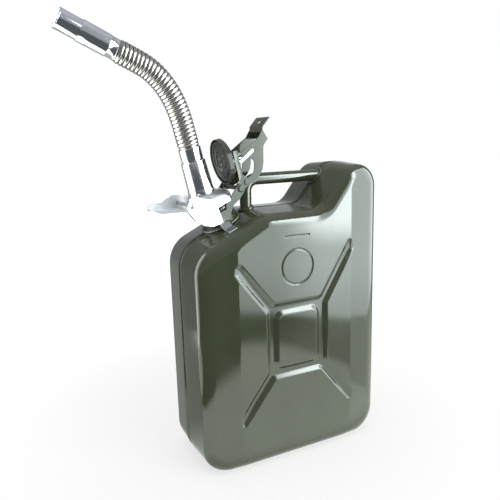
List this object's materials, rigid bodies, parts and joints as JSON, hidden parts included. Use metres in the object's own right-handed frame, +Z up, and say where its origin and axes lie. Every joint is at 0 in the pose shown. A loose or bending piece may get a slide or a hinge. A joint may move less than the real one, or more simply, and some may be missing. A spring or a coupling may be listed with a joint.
{
  "type": "metal jerry can",
  "caption": "Pressed steel fuel can with a sloping shoulder, hinged lever cap swung open and a clamped-on flexible metal pouring spout.",
  "frame": {"origin": "ground under the middle of the can's body, in the plane of its welded seam", "axes": "+Z up from the ground; +X along the can's width towards its tall side, away from the neck; -Y out of the front face"},
  "size_m": [0.4184, 0.13, 0.5895],
  "materials": {
    "front_shell": "gloss olive enamel on pressed sheet steel",
    "rear_shell": "gloss olive enamel on pressed sheet steel",
    "seam_weld": "gloss olive enamel over a seam weld",
    "seam_weld_valley": "gloss olive enamel over a seam weld",
    "neck": "gloss olive enamel on a rolled steel collar",
    "neck_weld": "gloss olive enamel over a fillet weld",
    "vent_tube": "gloss olive enamel on drawn steel tube",
    "handle": "gloss olive enamel on bent steel tube",
    "handle_weld_front": "gloss olive enamel over a fillet weld",
    "handle_weld_back": "gloss olive enamel over a fillet weld",
    "hinge_lug_front": "gloss olive enamel on pressed steel",
    "hinge_lug_rear": "gloss olive enamel on pressed steel",
    "hinge_pin": "bright zinc-plated rivet",
    "cap": "gloss olive enamel on pressed steel",
    "cap_seal": "matt black rubber",
    "cap_rivet": "bright zinc-plated rivet",
    "cap_washer": "bright zinc-plated washer",
    "cap_spring": "bright steel spring washers",
    "cap_yoke": "gloss olive enamel on bent steel strip",
    "lever_rivet_front": "bright zinc-plated rivet",
    "lever_rivet_rear": "bright zinc-plated rivet",
    "closing_lever": "gloss olive enamel on bent steel plate",
    "spout_gasket": "matt black rubber",
    "spout_foot": "bright zinc plate on pressed steel",
    "spout_tube": "bright zinc plate on steel tube",
    "clamp_cheek_front": "bright zinc plate on pressed steel",
    "clamp_cheek_rear": "bright zinc plate on pressed steel",
    "clamp_pin": "bright steel pin",
    "clamp_lever": "bright zinc plate on bent steel plate",
    "lower_ferrule": "bright zinc plate on steel ring",
    "hose": "bright ribbed metal hose",
    "upper_ferrule": "bright zinc plate on steel ring",
    "nozzle_shank": "bright zinc plate on steel tube",
    "nozzle_tip": "bright zinc plate on steel tube"
  },
  "bodies": {
    "can": {"front_shell": "front_shell", "rear_shell": "rear_shell", "seam_weld": "seam_weld", "seam_weld_valley": "seam_weld_valley", "neck": "neck", "neck_weld": "neck_weld", "vent_tube": "vent_tube", "handle": "handle", "handle_weld_front": "handle_weld_front", "handle_weld_back": "handle_weld_back", "hinge_lug_front": "hinge_lug_front", "hinge_lug_rear": "hinge_lug_rear", "hinge_pin": "hinge_pin"},
    "lid": {"cap": "cap", "cap_seal": "cap_seal", "cap_rivet": "cap_rivet", "cap_washer": "cap_washer", "cap_spring": "cap_spring", "cap_yoke": "cap_yoke", "lever_rivet_front": "lever_rivet_front", "lever_rivet_rear": "lever_rivet_rear"},
    "lever": {"closing_lever": "closing_lever"},
    "spout": {"spout_gasket": "spout_gasket", "spout_foot": "spout_foot", "spout_tube": "spout_tube", "clamp_cheek_front": "clamp_cheek_front", "clamp_cheek_rear": "clamp_cheek_rear", "clamp_pin": "clamp_pin", "lower_ferrule": "lower_ferrule", "hose": "hose"},
    "clamp": {"clamp_lever": "clamp_lever"},
    "nozzle": {"nozzle_shank": "nozzle_shank", "nozzle_tip": "nozzle_tip", "upper_ferrule": "upper_ferrule"}
  },
  "joints": [
    {"name": "lid_hinge", "type": "hinge", "parent": "can", "child": "lid", "pos_m": [-0.05986, 0, 0.37518], "axis": [0, 1, 0], "range_deg": [-4, 8]},
    {"name": "lever_hinge", "type": "hinge", "parent": "lid", "child": "lever", "pos_m": [-0.04929, 0, 0.38216], "axis": [0, 1, 0], "range_deg": [-10, 34]},
    {"name": "spout_lift", "type": "slide", "parent": "can", "child": "spout", "axis": [-0.4248, 0, 0.9053], "range_m": [0, 0.035]},
    {"name": "clamp_hinge", "type": "hinge", "parent": "spout", "child": "clamp", "pos_m": [-0.12739, 0, 0.35784], "axis": [0, 1, 0], "range_deg": [0, 60]},
    {"name": "hose_bend", "type": "hinge", "parent": "spout", "child": "nozzle", "pos_m": [-0.14, 0, 0.488], "axis": [0, 1, 0], "range_deg": [-30, 35], "deforming": ["hose"]}
  ]
}
